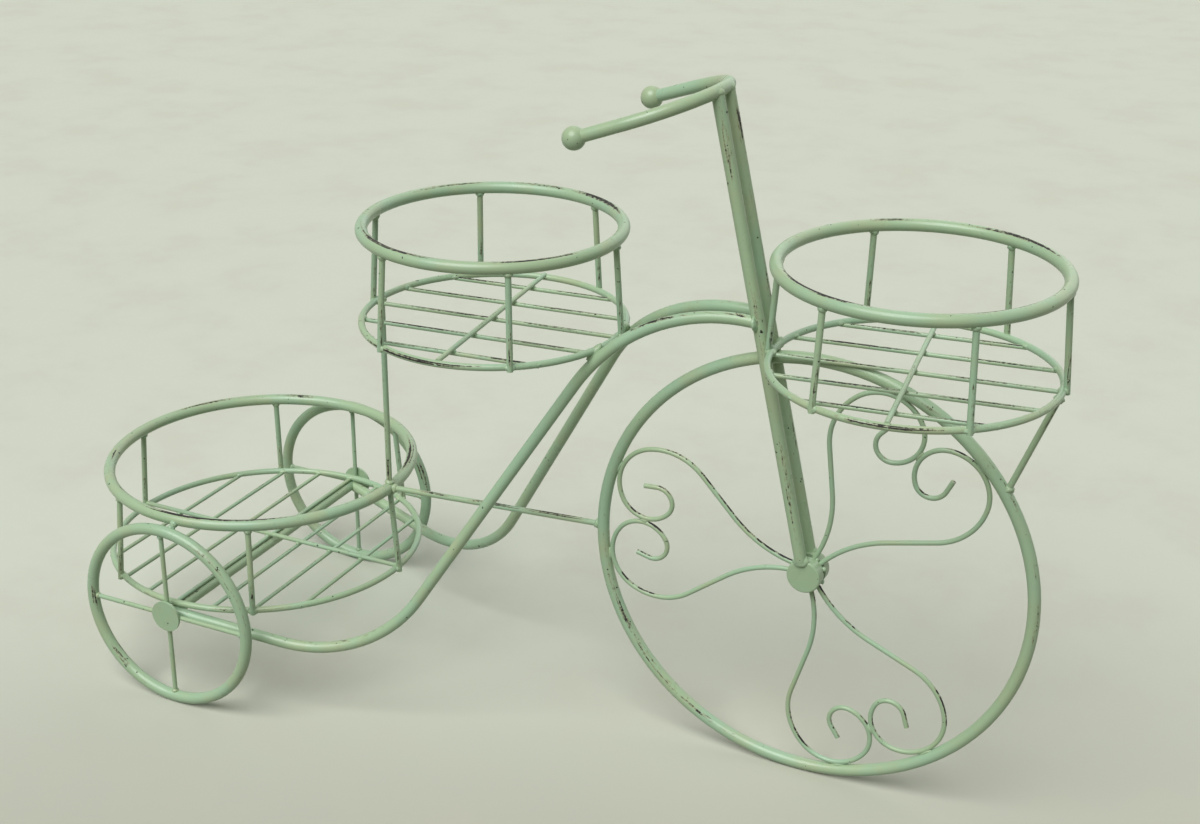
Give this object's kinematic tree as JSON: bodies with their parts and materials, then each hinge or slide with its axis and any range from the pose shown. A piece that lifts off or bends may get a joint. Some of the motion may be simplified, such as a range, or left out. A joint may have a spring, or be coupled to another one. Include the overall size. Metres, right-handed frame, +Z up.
{
  "type": "tricycle plant stand",
  "caption": "Plant stand in the shape of a tricycle, welded from painted steel tube and rod, with open pot baskets, heart scrolls in the front wheel and a distressed green finish.",
  "frame": {"origin": "on the floor, below the middle of the stand's length, in the plane midway between the rear wheels", "axes": "+X forward towards the front wheel, +Y to the rider's left, +Z up"},
  "size_m": [0.853, 0.306, 0.568],
  "materials": {
    "tube_paint": "satin sage green paint, dark chips and scratches along the upper edges",
    "rod_paint": "satin sage green paint, a few dark scratches",
    "hub_paint": "satin sage green paint over welded joints"
  },
  "bodies": {
    "root": {"basket_post": "rod_paint", "fork_tube_left": "tube_paint", "fork_tube_right": "tube_paint", "frame_tube_left": "tube_paint", "frame_tube_right": "tube_paint", "front_basket_cross_bar": "rod_paint", "front_basket_floor_bars": "rod_paint", "front_basket_floor_ring": "rod_paint", "front_basket_top_ring": "tube_paint", "front_basket_uprights": "rod_paint", "front_hub": "hub_paint", "front_rim": "tube_paint", "front_support": "rod_paint", "handlebar": "tube_paint", "handlebar_ball_left": "tube_paint", "handlebar_ball_right": "tube_paint", "heart_scroll_lower": "rod_paint", "heart_scroll_rear": "rod_paint", "heart_scroll_upper": "rod_paint", "middle_basket_cross_bar": "rod_paint", "middle_basket_floor_bars": "rod_paint", "middle_basket_floor_ring": "rod_paint", "middle_basket_top_ring": "tube_paint", "middle_basket_uprights": "rod_paint", "rear_axle": "tube_paint", "rear_basket_cross_bar": "rod_paint", "rear_basket_floor_bars": "rod_paint", "rear_basket_floor_ring": "rod_paint", "rear_basket_top_ring": "tube_paint", "rear_basket_uprights": "rod_paint", "rear_disc_left": "hub_paint", "rear_disc_right": "hub_paint", "rear_rim_left": "tube_paint", "rear_rim_right": "tube_paint", "rear_spokes_left": "rod_paint", "rear_spokes_right": "rod_paint", "rim_tie_left": "rod_paint", "rim_tie_right": "rod_paint", "wheel_strut": "rod_paint"}
  },
  "joints": []
}
